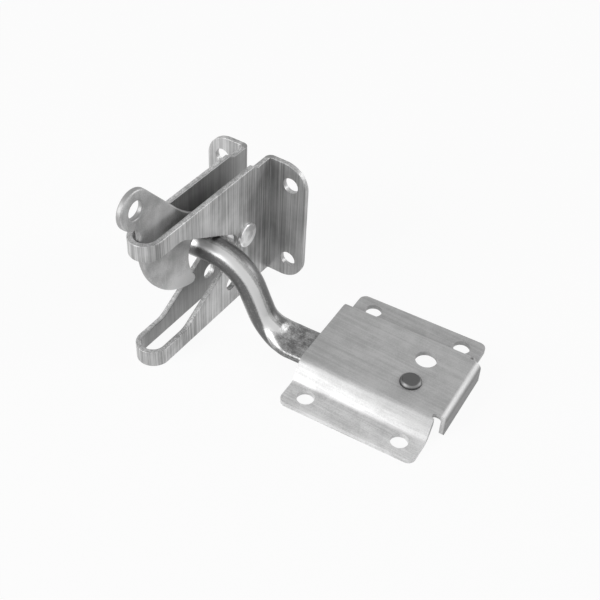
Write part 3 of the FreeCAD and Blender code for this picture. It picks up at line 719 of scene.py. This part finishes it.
def seen_as_backdrop(finish):
    """1 where a camera, glossy or transmission ray looks, and 0 for the rays that carry soft light."""
    rays = finish.node("ShaderNodeLightPath", {}, {}, "Is Camera Ray")
    path = rays.socket.node
    glossy = Reading(finish, path.outputs["Is Glossy Ray"])
    through = Reading(finish, path.outputs["Is Transmission Ray"])
    return rays + glossy + through


def pale_floor(level, side):
    """A square floor at the given height, nearly white to the camera, with the object's soft shadow on it."""
    half = side / 2
    mesh = bpy.data.meshes.new("floor")
    corners = [(-half, -half, level), (half, -half, level), (half, half, level), (-half, half, level)]
    mesh.from_pydata(corners, [], [(0, 1, 2, 3)])
    floor = bpy.data.objects.new("floor", mesh)
    bpy.context.scene.collection.objects.link(floor)
    floor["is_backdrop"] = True
    finish = Finish("pale_floor", 0.0)
    finish.feed(finish.shader.inputs["Base Color"], colour_of(0.9))
    finish.feed(finish.shader.inputs["Roughness"], 1.0)
    finish.feed(finish.shader.inputs["Specular IOR Level"], 0.0)
    white = finish.node("ShaderNodeEmission", {}, {"Color": colour_of(1.0), "Strength": 1.0})
    shown = finish.node(
        "ShaderNodeMixShader",
        {},
        {0: seen_as_backdrop(finish) * FLOOR_WHITE, 1: Reading(finish, finish.shader.outputs[0]), 2: white},
    )
    finish.feed(finish.tree.nodes["Material Output"].inputs["Surface"], shown)
    mesh.materials.append(finish.material)


def white_world(soft):
    """A world that is white to the camera and in reflections, and lights the object at the strength soft."""
    world = bpy.data.worlds.new("studio")
    world.use_nodes = True
    bpy.context.scene.world = world
    tree = world.node_tree
    path = tree.nodes.new("ShaderNodeLightPath")
    seen = tree.nodes.new("ShaderNodeMath")
    seen.operation = "MAXIMUM"
    tree.links.new(path.outputs["Is Camera Ray"], seen.inputs[0])
    tree.links.new(path.outputs["Is Glossy Ray"], seen.inputs[1])
    strength = tree.nodes.new("ShaderNodeMapRange")
    strength.inputs["To Min"].default_value = soft
    strength.inputs["To Max"].default_value = 1.0
    tree.links.new(seen.outputs[0], strength.inputs["Value"])
    tree.links.new(strength.outputs[0], tree.nodes["Background"].inputs["Strength"])
    tree.nodes["Background"].inputs["Color"].default_value = colour_of(1.0)


def photo_camera(stage):
    """A camera that looks along heading and dip, turned by roll about its view."""
    data = bpy.data.cameras.new("camera")
    data.sensor_width = SENSOR_WIDTH
    data.lens = stage.lens
    data.clip_start = 0.01
    data.clip_end = 20.0
    camera = bpy.data.objects.new("camera", data)
    bpy.context.scene.collection.objects.link(camera)
    level = math.cos(stage.dip)
    forward = Vector((level * math.cos(stage.heading), level * math.sin(stage.heading), -math.sin(stage.dip)))
    right = forward.cross(Vector((0.0, 0.0, 1.0))).normalized()
    up = right.cross(forward)
    turned_right = right * math.cos(stage.roll) + up * math.sin(stage.roll)
    turned_up = up * math.cos(stage.roll) - right * math.sin(stage.roll)
    turn = Matrix((turned_right, turned_up, -forward)).transposed()
    camera.matrix_world = Matrix.Translation(stage.camera_place) @ turn.to_4x4()
    bpy.context.scene.camera = camera


class GATELATCH_OT_stage(bpy.types.Operator):
    """Pale floor, soft lamps and the camera at the photograph's angle"""

    bl_idname = "gatelatch.build_stage"
    bl_label = "Stage"

    def execute(self, context):
        low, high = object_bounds()
        middle = (low + high) / 2
        pale_floor(low.z, FLOOR_SIDE)
        white_world(SOFT_LIGHT)
        area_lamp("key", middle, **KEY_LAMP)
        area_lamp("rim", middle, **RIM_LAMP)
        photo_camera(context.scene.latch_stage)
        context.scene.view_settings.view_transform = "Standard"
        return {"FINISHED"}


OPERATORS = {
    GATELATCH_OT_catch: ("latch_catch",),
    GATELATCH_OT_rivet: ("latch_rivet",),
    GATELATCH_OT_pawl: ("latch_pawl",),
    GATELATCH_OT_bar: ("latch_bar", "latch_bar_shape", "latch_gate"),
    GATELATCH_OT_pin: ("latch_pin",),
    GATELATCH_OT_strike: ("latch_strike",),
    GATELATCH_OT_stage: ("latch_stage",),
}

LOOKS = {
    "latch_catch": CatchLook,
    "latch_rivet": RivetLook,
    "latch_pawl": PawlLook,
    "latch_bar": BarLook,
    "latch_pin": PinLook,
    "latch_strike": StrikeLook,
    "latch_stage": StageLook,
    "latch_bar_shape": BarShape,
    "latch_gate": GatePlace,
}


class GATELATCH_PT_latch(bpy.types.Panel):
    """Lists the finishes and the stage of the gate latch"""

    bl_idname = "GATELATCH_PT_latch"
    bl_label = "Gate Latch"
    bl_space_type = "VIEW_3D"
    bl_region_type = "UI"
    bl_category = "Gate Latch"

    def draw(self, context):
        for operator, holders in OPERATORS.items():
            box = self.layout.box()
            for holder in holders:
                for key in LOOKS[holder].__annotations__:
                    box.prop(getattr(context.scene, holder), key)
            box.operator(operator.bl_idname)


def register():
    """Registers the looks, hangs each on the scene, then registers the operators and the panel."""
    for look in LOOKS.values():
        bpy.utils.register_class(look)
    for holder, look in LOOKS.items():
        setattr(bpy.types.Scene, holder, bpy.props.PointerProperty(type=look))
    for operator in OPERATORS:
        bpy.utils.register_class(operator)
    bpy.utils.register_class(GATELATCH_PT_latch)


def unregister():
    """Takes away what register added, in the opposite order."""
    bpy.utils.unregister_class(GATELATCH_PT_latch)
    for operator in reversed(OPERATORS):
        bpy.utils.unregister_class(operator)
    for holder, look in LOOKS.items():
        delattr(bpy.types.Scene, holder)
        bpy.utils.unregister_class(look)


def main():
    """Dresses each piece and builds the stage."""
    register()
    bpy.ops.gatelatch.dress_catch()
    bpy.ops.gatelatch.dress_rivet()
    bpy.ops.gatelatch.dress_pawl()
    bpy.ops.gatelatch.dress_bar()
    bpy.ops.gatelatch.dress_pin()
    bpy.ops.gatelatch.dress_strike()
    bpy.ops.gatelatch.build_stage()


if __name__ == "__main__":
    main()
